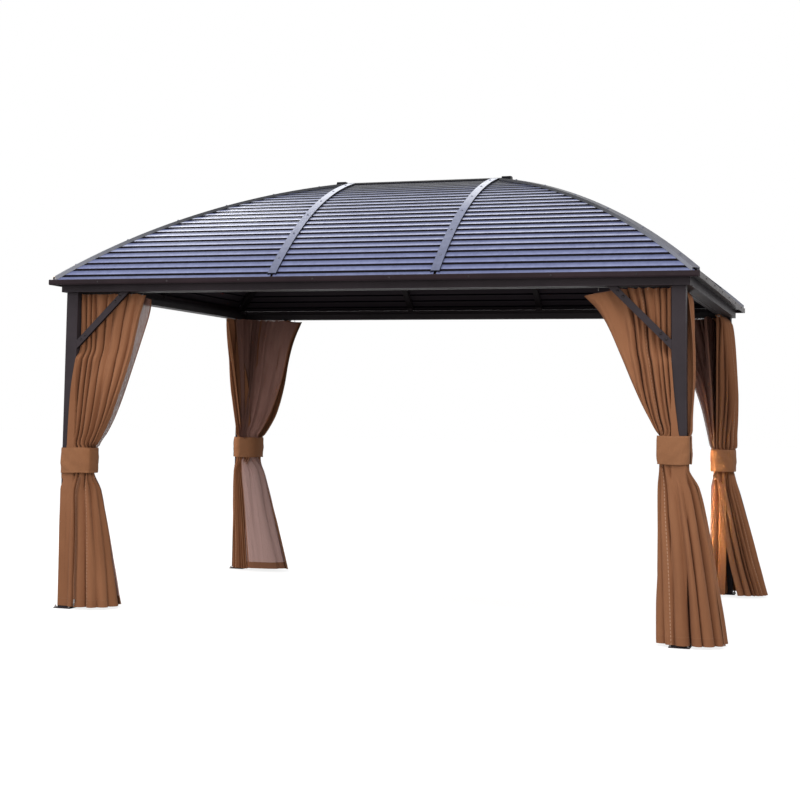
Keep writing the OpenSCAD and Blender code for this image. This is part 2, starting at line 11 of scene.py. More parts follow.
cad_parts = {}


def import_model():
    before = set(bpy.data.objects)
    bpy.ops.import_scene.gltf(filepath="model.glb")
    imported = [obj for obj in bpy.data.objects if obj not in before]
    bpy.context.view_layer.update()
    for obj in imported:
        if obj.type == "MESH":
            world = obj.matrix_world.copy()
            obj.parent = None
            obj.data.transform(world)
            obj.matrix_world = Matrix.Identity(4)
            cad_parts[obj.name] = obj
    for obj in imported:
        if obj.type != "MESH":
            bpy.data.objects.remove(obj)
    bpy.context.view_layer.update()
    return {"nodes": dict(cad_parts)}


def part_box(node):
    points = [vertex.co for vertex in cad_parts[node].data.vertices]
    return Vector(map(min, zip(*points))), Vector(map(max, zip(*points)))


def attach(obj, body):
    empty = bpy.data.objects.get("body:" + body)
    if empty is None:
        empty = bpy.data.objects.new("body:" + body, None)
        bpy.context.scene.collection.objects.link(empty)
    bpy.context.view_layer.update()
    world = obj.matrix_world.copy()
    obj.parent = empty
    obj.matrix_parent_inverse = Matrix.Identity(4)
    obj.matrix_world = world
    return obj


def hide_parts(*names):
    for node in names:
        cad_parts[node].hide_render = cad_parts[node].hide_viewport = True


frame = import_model()
nodes = frame["nodes"]

# Where the frame's main lines are
trim_lo, trim_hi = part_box("eave_trim_front")
ROOF_X = (trim_lo.x + trim_hi.x) / 2
ROOF_W = 2 * abs(trim_lo.y)
ROOF_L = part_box("eave_trim_right")[1].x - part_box("eave_trim_left")[0].x
RAIL_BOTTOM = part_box("curtain_rails")[0].z
BEAM_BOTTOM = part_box("beam_front")[0].z
UP, DOWN = Vector((0, 0, 1)), Vector((0, 0, -1))
POST_HALF = 0.038
ANCHOR = 0.047
CORNERS = {
    "front_left": (-1, -1),
    "front_right": (1, -1),
    "back_left": (-1, 1),
    "back_right": (1, 1),
}
POSTS = {}
for corner in CORNERS:
    lo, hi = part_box("post_" + corner)
    POSTS[corner] = ((lo.x + hi.x) / 2, (lo.y + hi.y) / 2)

# The roof's arc, as the solids have it
EAVE_SLOPE, RIDGE_SLOPE = math.radians(42), math.radians(13)
COURSES, COURSE_START = 26, 0.3
SHEET_START, SHEET_Z = 0.023, 2.0066
ARC_R = (ROOF_W / 2 - SHEET_START) / (math.sin(EAVE_SLOPE) - math.sin(RIDGE_SLOPE))
ARC_D = SHEET_START + ARC_R * math.sin(EAVE_SLOPE)
ARC_Z = SHEET_Z - ARC_R * math.cos(EAVE_SLOPE)
CAP_FOOT, CAP_RISE = 2.0, 0.79

# Values that several finishes share: the UV unit is in metres, and the pitches of threads are in millimetres
UV_UNIT = 2.0
WEAVE_PITCH = 1.6
NET_PITCH, NET_GAP = 2.4, 0.36
WHITE, BLACK = (255, 255, 255), (0, 0, 0)


# Shader helpers
def linear(rgb):
    """The linear colour of an sRGB triple of 0 to 255."""
    return tuple((v / 255 / 12.92) if v <= 10 else ((v / 255 + 0.055) / 1.055) ** 2.4 for v in rgb) + (1.0,)


class Shader:
    """The nodes of a material or a world, with one surface and short ways to add to it."""

    def __init__(self, name, store=bpy.data.materials):
        self.name = name
        self.mat = store.new(name)
        self.mat.use_nodes = True
        self.tree = self.mat.node_tree
        self.end = next(n for n in self.tree.nodes if n.type.startswith("OUTPUT")).inputs["Surface"]
        self.surface = self.end.links[0].from_node

    def wire(self, socket, value):
        if isinstance(value, bpy.types.NodeSocket):
            self.tree.links.new(value, socket)
        else:
            socket.default_value = value

    def fill(self, node, inputs):
        for key, value in inputs.items():
            self.wire(node.inputs[key.replace("_", " ") if isinstance(key, str) else key], value)
        return node

    def add(self, kind, **inputs):
        return self.fill(self.tree.nodes.new(kind), inputs)

    def set(self, **inputs):
        self.fill(self.surface, inputs)

    def math(self, op, a, b=0.0, clamp=False):
        node = self.add("ShaderNodeMath")
        node.operation = op
        node.use_clamp = clamp
        return self.fill(node, {0: a, 1: b}).outputs[0]

    def times(self, a, b, clamp=False):
        return self.math("MULTIPLY", a, b, clamp)

    def minus(self, a, b):
        return self.math("SUBTRACT", a, b)

    def below(self, a, b):
        return self.math("LESS_THAN", a, b)

    def coords(self, scale=(1, 1, 1), kind="Object"):
        source = self.add("ShaderNodeTexCoord").outputs[kind]
        return self.add("ShaderNodeMapping", Vector=source, Scale=scale).outputs["Vector"]

    def noise(self, scale, detail=3.0, rough=0.5, stretch=(1, 1, 1), kind="Object"):
        node = self.add("ShaderNodeTexNoise", Scale=scale, Detail=detail, Roughness=rough)
        return self.fill(node, {"Vector": self.coords(stretch, kind)}).outputs["Fac"]

    def ramp(self, fac, *stops):
        node = self.add("ShaderNodeValToRGB", Fac=fac)
        points = node.color_ramp.elements
        while len(points) < len(stops):
            points.new(0.5)
        for point, (at, colour) in zip(points, stops):
            point.position = at
            point.color = linear(colour)
        return node.outputs["Color"]

    def mix(self, fac, a, b, blend="MIX"):
        node = self.add("ShaderNodeMix")
        node.data_type = "RGBA"
        node.blend_type = blend
        return self.fill(node, {0: fac, 6: a, 7: b}).outputs[2]

    def bump(self, height, strength, distance, normal=None):
        node = self.add("ShaderNodeBump", Strength=strength, Distance=distance, Height=height)
        if normal is not None:
            self.wire(node.inputs["Normal"], normal)
        return node.outputs["Normal"]

    def to_camera(self, lit, seen):
        """One shader for the light that falls on it, and another for what camera, gloss and clear things see."""
        rays = self.add("ShaderNodeLightPath").outputs
        either = self.math("MAXIMUM", rays["Is Camera Ray"], rays["Is Glossy Ray"])
        both = self.add("ShaderNodeMixShader", Fac=self.math("MAXIMUM", either, rays["Is Transmission Ray"]))
        self.fill(both, {1: lit.outputs[0], 2: seen.outputs[0]})
        self.wire(self.end, both.outputs[0])

    def uv_mm(self):
        """Places on a sheet's flat cut, in millimetres: across from its free edge, and up from its hem."""
        uv = self.add("ShaderNodeTexCoord").outputs["UV"]
        parts = self.add("ShaderNodeSeparateXYZ", Vector=uv).outputs
        return [self.times(parts[axis], UV_UNIT * 1000) for axis in ("X", "Y")]

    def roughness(self, scale, swing, least):
        """A roughness that varies over the surface, from its least value up."""
        self.set(Roughness=self.math("ADD", self.times(self.noise(scale, 3), swing), least))


def facing(s):
    """The three parts of a face's own direction."""
    normal = s.add("ShaderNodeNewGeometry").outputs["True Normal"]
    return s.add("ShaderNodeSeparateXYZ", Vector=normal).outputs


def coat(name, dark, light, rough, specular):
    """Powder coat: a cloudy colour with a little dust, painted shade on the undersides, orange peel and softened
    edges.
    """
    s = Shader(name)
    tone = s.ramp(s.noise(2.3, 4, 0.6), (0.3, dark), (0.7, light))
    dust = s.times(s.noise(14, 6, 0.65), 0.03)
    tone = s.mix(dust, tone, linear((140, 132, 132)))
    # Painted shade: faces that point down are darkened almost to black.
    under = s.below(facing(s)["Z"], -0.5)
    tone = s.mix(s.times(under, 0.75), tone, linear((12, 10, 11)))
    s.set(Base_Color=tone, Specular_IOR_Level=specular)
    s.roughness(9, 0.16, rough - 0.08)
    edge = s.add("ShaderNodeBevel", Radius=0.0022)
    edge.samples = 4
    peel = s.noise(620, 2)
    s.set(Normal=s.bump(peel, 0.12, 0.0006, edge.outputs["Normal"]))
    return s


def roof_coat():
    """Painted roof sheet. Each course carries a painted highlight at its rolled lower edge and deepens towards the
    groove above it, which is painted shade. The courses follow the roof's arc. Towards the ridge the painted grooves
    are wider and the top courses carry painted shade, while the middle ones carry a painted gleam. Undersides carry
    painted shade, the level ones less so."""
    s = Shader("roof_coat")
    place = s.add("ShaderNodeSeparateXYZ", Vector=s.coords()).outputs
    side = s.minus(ROOF_W / 2, s.math("ABSOLUTE", place["Y"]))
    end = s.minus(ROOF_L / 2, s.math("ABSOLUTE", s.minus(place["X"], ROOF_X)))
    inward = s.math("MINIMUM", side, end)
    angle = s.math("ARCTAN2", s.minus(ARC_D, inward), s.minus(place["Z"], ARC_Z))
    share = s.math("DIVIDE", s.minus(EAVE_SLOPE, angle), EAVE_SLOPE - RIDGE_SLOPE)
    course = s.math("ADD", s.times(share, COURSES - COURSE_START), COURSE_START)
    part = s.math("FRACT", course)
    # The painted shade in each groove widens towards the ridge.
    widening = s.math("ADD", 0.8, s.times(share, 0.78))
    shade = s.times(part, widening, True)
    # Painted light along each course: a thin painted shadow at its lower edge, a painted highlight just above it,
    # then darker up to painted shade in the groove.
    tone = s.ramp(shade, (0.0, (11, 12, 22)), (0.03, (74, 79, 105)), (0.06, (147, 153, 186)), (0.2, (130, 137, 171)),
                  (0.56, (92, 99, 131)), (0.65, (62, 67, 94)), (0.7, (8, 9, 18)), (1.0, (5, 6, 13)))
    # A painted highlight just above each lower edge, on the middle courses only, pales them to near white.
    gleam = s.ramp(shade, (0.03, BLACK), (0.07, WHITE), (0.24, (190, 190, 190)), (0.4, BLACK))
    middle = s.ramp(share, (0.12, BLACK), (0.36, WHITE), (0.62, WHITE), (0.76, BLACK))
    tone = s.mix(s.times(gleam, middle), tone, linear((240, 243, 254)))
    # Painted shade darkens the top courses by the ridge.
    high = s.times(s.minus(share, 0.68), 5.0, True)
    tone = s.mix(s.times(high, 0.85), tone, linear((17, 18, 23)))
    cloud = s.ramp(s.noise(1.1, 4, 0.6), (0.3, (222, 222, 228)), (0.7, WHITE))
    tone = s.mix(1.0, tone, cloud, "MULTIPLY")
    streak = s.ramp(s.noise(3.0, 4, 0.6, (9, 9, 0.6)), (0.3, (226, 226, 230)), (0.7, WHITE))
    tone = s.mix(1.0, tone, streak, "MULTIPLY")
    # Painted shade on the undersides, less dark on those that face straight down.
    upward = facing(s)["Z"]
    under = s.below(upward, 0.0)
    tone = s.mix(under, tone, linear((30, 26, 29)))
    level = s.below(upward, -0.6)
    tone = s.mix(level, tone, linear((58, 52, 57)))
    s.set(Base_Color=tone, Specular_IOR_Level=0.07)
    s.roughness(5, 0.14, s.math("ADD", 0.26, s.times(under, 0.4)))
    s.set(Normal=s.bump(s.noise(420, 2), 0.05, 0.0005))
    return s


def cap_finish(name, foot, middle, top, flank, specular=0.2):
    """Moulded caps over the sheet joints: faint mottling over a tone that changes from eave to ridge, and another
    tone on the steep flanks; the callers paint reflection and shade with these tones.
    """
    s = Shader(name)
    height = s.add("ShaderNodeSeparateXYZ", Vector=s.coords()).outputs["Z"]
    rise = s.math("DIVIDE", s.minus(height, CAP_FOOT), CAP_RISE)
    tone = s.ramp(rise, (0.05, foot), (0.6, middle), (0.9, top))
    mottle = s.ramp(s.noise(26.0, 4, 0.6), (0.3, (222, 222, 226)), (0.7, WHITE))
    tone = s.mix(1.0, tone, mottle, "MULTIPLY")
    # Steep flanks take the flank tone that the caller paints as reflection and shade, halving towards the ridge.
    steep = s.below(facing(s)["Z"], 0.35)
    sides = s.ramp(rise, (0.1, flank), (0.6, tuple(v * 0.5 for v in flank)))
    s.set(Base_Color=s.mix(steep, tone, sides), Specular_IOR_Level=specular)
    s.roughness(7, 0.15, 0.28)
    s.set(Normal=s.bump(s.noise(260, 2), 0.04, 0.0005))
    return s


def rail_metal():
    """Drawn aluminium with lines along the rail."""
    s = Shader("rail_metal")
    tone = s.ramp(s.noise(3.0, 4), (0.3, (36, 33, 35)), (0.7, (50, 46, 48)))
    s.set(Base_Color=tone, Metallic=0.3, Specular_IOR_Level=0.1)
    s.roughness(30, 0.2, 0.35)
    s.set(Normal=s.bump(s.noise(90, 3, 0.5, (1, 1, 14)), 0.08, 0.0005))
    return s


def bolt_metal(name, dark, light):
    """Bolt and screw metal, lightly mottled."""
    s = Shader(name)
    tone = s.ramp(s.noise(60, 4), (0.3, dark), (0.7, light))
    s.set(Base_Color=tone, Metallic=0.9)
    s.roughness(120, 0.2, 0.28)
    return s


def dashes(s, across, at, along, pitch=7.0, half=0.9):
    """Mask of a stitched line at one place across the cloth, in millimetres."""
    line = s.below(s.math("ABSOLUTE", s.minus(across, at)), half)
    beat = s.below(s.math("FRACT", s.math("DIVIDE", along, pitch)), 0.62)
    return s.times(line, beat)


def cloth(name, dark, light, thread, hems=((46.0, 44.0),), edge=30.0, seams=()):
    """Woven polyester: plain weave, slubs, faded streaks down the folds, doubled hems, stitches and seams.
    In millimetres, each hem is its height and the place of its stitches, edge is the width of the side hem, and
    a seam is its place across the cloth."""
    s = Shader(name)
    u, v = s.uv_mm()
    fade = s.noise(3.2, 4, 0.6, (1, 1, 0.35))
    tone = s.ramp(fade, (0.28, dark), (0.72, light))
    slub = s.noise(900, 2, 0.6, (1, 0.05, 1), "UV")
    tone = s.mix(s.times(slub, 0.16), tone, linear(thread))
    double = s.below(u, edge)
    stitch = dashes(s, u, edge - 2, v)
    for height, line in hems:
        double = s.math("MAXIMUM", double, s.below(v, height))
        stitch = s.math("MAXIMUM", stitch, dashes(s, v, line, u))
    tone = s.mix(s.times(double, 0.16), tone, linear(dark))
    tone = s.mix(s.times(stitch, 0.6), tone, linear(thread))
    for seam in seams:
        sewn = dashes(s, u, seam, v, pitch=20.0, half=2.6)
        tone = s.mix(s.times(sewn, 0.55), tone, linear((206, 168, 142)))
        stitch = s.math("MAXIMUM", stitch, sewn)
    s.set(Base_Color=tone, Roughness=0.88, Specular_IOR_Level=0.08, Sheen_Weight=0.03, Sheen_Roughness=0.5)
    warp, weft = (s.math("SINE", s.times(way, math.tau / WEAVE_PITCH)) for way in (u, v))
    weave = s.times(s.times(warp, weft), 0.5)
    crumple = s.noise(22, 5, 0.6, (1, 1, 0.6))
    soft = s.bump(crumple, 0.3, 0.006)
    ridge = s.math("ADD", s.times(double, 0.8), s.times(stitch, -1.2))
    soft = s.bump(ridge, 0.5, 0.0012, soft)
    s.set(Normal=s.bump(weave, 0.22, 0.0004, soft))
    return s


def netting():
    """Fine insect net: threads with holes between them, darker above the skirt as painted shade and paler low down,
    and closed at the hems.
    """
    s = Shader("netting_cloth")
    u, v = s.uv_mm()
    tone = s.ramp(s.noise(4.0, 4, 0.6, (1, 1, 0.4)), (0.3, (128, 92, 82)), (0.7, (150, 113, 102)))
    # Painted shade keeps the net darker above the skirt, under the roof; low down it is paler.
    low = s.math("DIVIDE", s.minus(1000.0, v), 300.0, True)
    tone = s.mix(s.times(low, 0.62), tone, linear((222, 186, 178)))
    gaps = [s.below(s.math("FRACT", s.math("DIVIDE", way, NET_PITCH)), NET_GAP) for way in (u, v)]
    hem = s.math("MAXIMUM", s.below(v, 48.0), s.below(u, 9.0))
    hole = s.times(s.times(*gaps), s.minus(1.0, hem))
    tone = s.mix(hem, tone, linear((134, 92, 70)))
    s.set(Base_Color=tone, Roughness=0.85, Specular_IOR_Level=0.1)
    s.set(Alpha=s.minus(1.0, hole))
    return s


FINISH = {s.name: s.mat for s in (
    coat("frame_coat", (46, 41, 44), (60, 53, 57), 0.5, 0.07),
    coat("trim_coat", (27, 16, 21), (41, 28, 33), 0.4, 0.1),
    roof_coat(),
    # Rib caps: painted reflection pales them towards the ridge, and their flanks are painted shade.
    cap_finish("cap_plastic", (98, 103, 126), (128, 133, 154), (226, 229, 238), (26, 27, 42)),
    # Hip caps: painted shade darkens them towards the ridge, and their flanks carry a painted reflection.
    cap_finish("hip_plastic", (92, 93, 104), (70, 71, 80), (42, 43, 50), (140, 142, 150)),
    cap_finish("ridge_plastic", (14, 14, 18), (14, 14, 18), (16, 16, 20), (12, 12, 16), 0.03),
    rail_metal(),
    cloth("curtain_cloth", (129, 84, 57), (150, 102, 72), (170, 126, 96), seams=(592.0,)),
    cloth("band_cloth", (138, 92, 62), (152, 106, 75), (172, 127, 96), ((9.0, 8.0), (0.0, 146.0)), 14.0),
    netting(),
    bolt_metal("bolt_steel", (96, 92, 92), (150, 147, 146)),
    bolt_metal("bolt_dark", (44, 40, 42), (66, 60, 62)),
    bolt_metal("bolt_roof", (70, 72, 84), (104, 107, 122)),
    bolt_metal("zip_coil", (86, 58, 42), (112, 78, 58)),
    cloth("zip_tape", (104, 68, 48), (118, 79, 57), (140, 100, 76), (), 0.0),
)}

# Finish of the solids that stay as they are, by the start of their names
SOLID_FINISH = {
    "frame_coat": ("post_", "beam_", "corner_connectors", "braces_", "ridge_beam", "hip_rafters", "rafters_"),
    "trim_coat": ("eave_trim_", "eave_corner_caps"),
    "rail_metal": ("curtain_rails",),
    "roof_coat": ("roof_",),
    "cap_plastic": ("rib_caps_",),
    "hip_plastic": ("hip_caps",),
    "ridge_plastic": ("ridge_cap", "ridge_end_caps"),
}
for name, obj in nodes.items():
    for finish, starts in SOLID_FINISH.items():
        if name.startswith(starts):
            obj.data.materials.clear()
            obj.data.materials.append(FINISH[finish])


# Making of new pieces
def piece(name, points, faces, finish, smooth=True, uv=None):
    """A new mesh object on the root body."""
    mesh = bpy.data.meshes.new(name)
    mesh.from_pydata([tuple(p) for p in points], [], faces)
    mesh.update()
    if uv is not None:
        layer = mesh.uv_layers.new(name="UVMap")
        loops = np.empty(len(mesh.loops), dtype=np.int32)
        mesh.loops.foreach_get("vertex_index", loops)
        layer.data.foreach_set("uv", np.asarray(uv, dtype=np.float32)[loops].ravel())
    if smooth:
        mesh.shade_smooth()
    mesh.materials.append(FINISH[finish])
    obj = bpy.data.objects.new(name, mesh)
    bpy.context.scene.collection.objects.link(obj)
    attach(obj, "root")
    return obj


def grid_faces(rows, cols):
    return [
        (r * cols + c, r * cols + c + 1, (r + 1) * cols + c + 1, (r + 1) * cols + c)
        for r in range(rows - 1)
        for c in range(cols - 1)
    ]


def lengths(line):
    """The way along a line to each of its points."""
    return np.concatenate([[0], np.cumsum(np.linalg.norm(np.diff(line, axis=0), axis=1))])


def path(points, count=181):
    """A line through corner points, rounded off and cut into equal steps."""
    p = np.array(points, float)
    for _ in range(3):
        a, b = p[:-1], p[1:]
        cut = np.empty((2 * len(a), 2))
        cut[0::2] = 0.75 * a + 0.25 * b
        cut[1::2] = 0.25 * a + 0.75 * b
        p = np.vstack([p[:1], cut, p[-1:]])
    at = lengths(p)
    want = np.linspace(0, at[-1], count)
    return np.column_stack([np.interp(want, at, p[:, k]) for k in (0, 1)])


def between(levels, values, wanted):
    """Values at the wanted levels, smooth through those given and without overshoot."""
    x = np.array(levels, float)
    y = np.array(values, float)
    h = np.diff(x)
    slope = np.diff(y, axis=0) / h.reshape(-1, *(1,) * (y.ndim - 1))
    m = np.zeros_like(y)
    m[0], m[-1] = slope[0], slope[-1]
    if len(x) > 2:
        a, b = slope[:-1], slope[1:]
        same = a * b > 0
        m[1:-1] = np.where(same, 2 * a * b / np.where(same, a + b, 1), 0)
    out = []
    for w in wanted:
        k = int(np.clip(np.searchsorted(x, w, side="right") - 1, 0, len(h) - 1))
        t = min(max((w - x[k]) / h[k], 0.0), 1.0)
        out.append(
            (2 * t**3 - 3 * t**2 + 1) * y[k] + (t**3 - 2 * t**2 + t) * h[k] * m[k]
            + (-2 * t**3 + 3 * t**2) * y[k + 1] + (t**3 - t**2) * h[k] * m[k + 1]
        )
    return np.array(out)


# Clearances from the post's face and from its middle, and how the folds of a sheet vary down its length
FACE_CLEAR, LINE_CLEAR = 0.004, 0.047
WIDTH_DRIFT, CLOSING_DRIFT, LEAN = 0.35, 0.3, 0.25
DEPTH_RANGE = (0.15, 1.6)
CLOSED_AT = 0.04
SLIT_FROM, SLIT_OVER, SLIT_POWER = 0.035, 0.04, 5
FINE_CRUMPLE = 0.003
DROOP_REACH, FREE_CORNER = 0.3, 0.16


def room(points, ways):
    """How far each point can go its way before it meets the post."""
    gap = POST_HALF + FACE_CLEAR
    with np.errstate(divide="ignore", invalid="ignore"):
        a = (-gap - points) / ways
        b = (gap - points) / ways
    near = np.nanmax(np.minimum(a, b), axis=1)
    far = np.nanmin(np.maximum(a, b), axis=1)
    return np.where((near < far) & (far > 0), np.maximum(near, 0.0), 1.0)


def clear_of_post(points):
    """A line's points, moved straight out from the post's middle where they would lie in it."""
    out = []
    for x, y in points:
        k = max(1.0, LINE_CLEAR / max(abs(x), abs(y), 1e-6))
        out.append((x * k, y * k))
    return out


def to_world(corner, points):
    """Points given in a corner's own axes, in the world's."""
    sx, sy = CORNERS[corner]
    px, py = POSTS[corner]
    out = np.array(points, float)
    out[..., 0] = px - sx * out[..., 0]
    out[..., 1] = py - sy * out[..., 1]
    return out


class Sheet:
    """Pleated cloth through stations at several heights, in a corner's own axes: p inward along the long side
    and q inward along the short side, both from the middle of the post. A station gives its height, the outer
    line of the cloth from its free edge to its post edge, the share of that line that each pleat takes, and
    how far the folds between the pleats go in. The top edge droops at its free corner and between its hooks."""

    def __init__(self, corner, stations, side, seed, droop, per_pleat=24, rows=104, curl=1.0, sharp=0.85,
                 crumple=0.014, vary=0.9, slit=0.66):
        self.corner = corner
        rand = random.Random(seed)
        levels, lines, shares, depths = zip(*sorted(stations, key=lambda station: station[0]))
        heights = np.linspace(levels[0], levels[-1], rows)
        lines = between(levels, [path(line) for line in lines], heights)
        shares = between(levels, [np.array(share) / sum(share) for share in shares], heights)
        depths = between(levels, depths, heights)
        count = shares.shape[1]
        tau = np.linspace(0, 1, per_pleat, endpoint=False)
        turn = tau * math.tau
        swell = (1 + np.cos(turn)) / 2
        lean = [rand.uniform(-0.8, 0.8) for _ in range(count + 1)]
        drift = [rand.uniform(0, 50) for _ in range(count)]
        grid = []
        for z, line, share, depth in zip(heights, lines, shares, depths):
            share = share * np.array([1 + WIDTH_DRIFT * noise.noise((d, z * 1.5, 0.3)) for d in drift])
            share = share / share.sum()
            fade = np.array([1 + vary * noise.noise((d, z * 1.6, 9.3)) for d in drift + [seed]])
            depth = depth * np.clip(fade, *DEPTH_RANGE)
            starts = np.concatenate([[0], np.cumsum(share)])
            s, n, a = [], [], []
            for k in range(count):
                swing = 1 + CLOSING_DRIFT * noise.noise((drift[k], z * 2.3, 4.1))
                first = 0.0 if k == 0 else depth[k]
                last = 0.0 if k == count - 1 else depth[k + 1]
                deep = np.where(tau < 0.5, first, last)
                close = curl * swing * np.clip(deep / CLOSED_AT, 0, 1)
                along = starts[k] + share[k] * (tau - close * np.sin(turn) / math.tau)
                thin = slit * np.clip((deep - SLIT_FROM) / SLIT_OVER, 0, 1)
                inward = deep * ((1 - thin) * swell**sharp + thin * swell**SLIT_POWER)
                s.append(along + lean[k] * share[k] * LEAN * np.sin(turn / 2) ** 2)
                n.append(inward)
                a.append((k + tau) / count)
            s = np.clip(np.concatenate(s + [[1.0]]), 0, 1)
            n = np.concatenate(n + [[0.0]])
            a = np.concatenate(a + [[1.0]])
            at = np.linspace(0, 1, len(line))
            p = np.column_stack([np.interp(s, at, line[:, k]) for k in (0, 1)])
            slope = np.gradient(line, axis=0)
            slope /= np.maximum(np.linalg.norm(slope, axis=1, keepdims=True), 1e-9)
            slope = np.column_stack([np.interp(s, at, slope[:, k]) for k in (0, 1)])
            normal = np.column_stack([-slope[:, 1], slope[:, 0]]) * side
            soft = np.array([noise.noise((q * 9 + seed, z * 2.6, seed * 0.37)) for q in s * 1.6])
            fine = np.array([noise.noise((q * 26 + seed, z * 4 + q * 9, seed * 0.73)) for q in s])
            inward = np.minimum(n + crumple * (1 + soft) / 2 + FINE_CRUMPLE * fine, room(p, -normal))
            p = p - normal * inward[:, None]
            grid.append(np.column_stack([p, np.full(len(p), z)]))
        self.grid = np.array(grid)
        self.share = a
        self.heights = heights
        corner_drop, hook_drop, hooks = droop
        near = np.clip((heights - heights[-1] + DROOP_REACH) / DROOP_REACH, 0, 1) ** 2
        at_corner = np.clip(1 - a / FREE_CORNER, 0, 1) ** 1.5
        fall = corner_drop * at_corner + hook_drop * np.abs(np.sin(a * math.pi * hooks))
        self.grid[..., 2] -= near[:, None] * fall[None, :]

    def build(self, kind, finish, solid, sewn=()):
        """The sheet as a piece that stands for its solid, which it hides, with UVs from the width it was cut to."""
        rows, cols = self.grid.shape[:2]
        points = to_world(self.corner, self.grid).reshape(-1, 3)
        width, length = CUT_WIDTH[kind], self.heights[-1] - self.heights[0]
        u = np.tile(self.share * width / UV_UNIT, rows)
        v = np.repeat((self.heights - self.heights[0]) / UV_UNIT, cols)
        name, node = kind + "_" + self.corner, solid + "_" + self.corner
        obj = piece(name, points, grid_faces(rows, cols), finish, True, np.column_stack([u, v]))
        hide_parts(node)


def ring(x0, x1, y0, y1, start, stop):
    """Part of an oval between four sides, a little squarer than an ellipse, by the angle seen from its middle."""
    count, power = 40, 0.9
    cx, cy, rx, ry = (x0 + x1) / 2, (y0 + y1) / 2, (x1 - x0) / 2, (y1 - y0) / 2
    out = []
    for k in range(count + 1):
        t = math.radians(start + (stop - start) * k / count)
        c, s = math.cos(t), math.sin(t)
        out.append((cx + rx * math.copysign(abs(c) ** power, c), cy + ry * math.copysign(abs(s) ** power, s)))
    return clear_of_post(out)


# Sizes that all the cloth shares, in metres: the widths it is cut to, and places in a corner's own axes
CUT_WIDTH = {"drape_long": 1.3, "drape_short": 1.05, "net_long": 0.7, "net_short": 0.6}
CLOTH_TOP = RAIL_BOTTOM - 0.003
BAND_H = 0.154
BAND_GAP, BAND_IN = 0.004, 0.02
HEM_Z, NET_RAISED = 0.016, 0.006
RAIL_Q, FRONT_Q = -0.008, -0.0465
POST_EDGE = 0.046
BACK_Q = 0.14
LEVELS = (0.0, 0.25, 0.5, 0.72, 0.87)
UPS = (0.02, 0.1, 0.2, 0.3, 0.4, 0.48, 0.56, 0.64, 0.72, 0.8, 0.88, 0.95, 1.0)
SHORT_PLEATS, NARROW_PLEATS = 8, 6
NET_CLOTH = dict(per_pleat=14, rows=80, curl=0.7, sharp=1.0, crumple=0.008, vary=0.5, slit=0.0)

# The hanging of each corner, in metres from the post's middle and in degrees.
# band is the height of the band's lower edge. free and short are the free edges of the long and the short curtain,
# by share of the height over the band. cover is how far the long one comes over the post's front, by height, and
# forward the heights between which it comes forward. pleats and hem are pleat widths at the rail and in the skirt
# from the free edge on, and folds and creases the depths between them. In the band the long curtain lies from
# bundle to held, its free edge at tuck, and the short one at side; bulge is how far that swells out. skirt is the
# hem's oval, flare how it opens, wrap and nets the angles of it that the curtains and the nets take, and lap the
# curtains' overlap. net_in and net_out shape the long net's edge; net_spread and short_spread are the nets' shares
# of the skirt. droop is the fall of the free corner, that between hooks, and their number. zip is the zip's place.
COMMON = dict(
    short=[(1.0, 0.484), (0.88, 0.43), (0.6, 0.33), (0.34, 0.24), (0.12, 0.165), (0.03, 0.14)],
    cover=[(1.13, 0.0), (1.37, 0.026), (1.5, 0.036), (1.58, 0.044)], forward=(1.6, 1.5),
    wrap=(42, -158, 58, 203), nets=(14, 50, 44, 84), lap=30, flare=0.9, droop=(0.012, 0.006, 8),
    net_in=0.0, net_out=0.0, net_spread=0.95, short_spread=0.9, tuck=None, zip=None)
BACK = dict(
    COMMON, pleats=(1.8, 1.0, 0.8, 1.4, 0.7, 1.2, 0.8, 1.0), folds=(0, 1.1, 0.8, 1.3, 0.9, 1.2, 1.0, 1.0, 0),
    creases=(0, 1.2, 0.9, 1.2, 0.8, 1.1, 1.0, 1.0, 0))
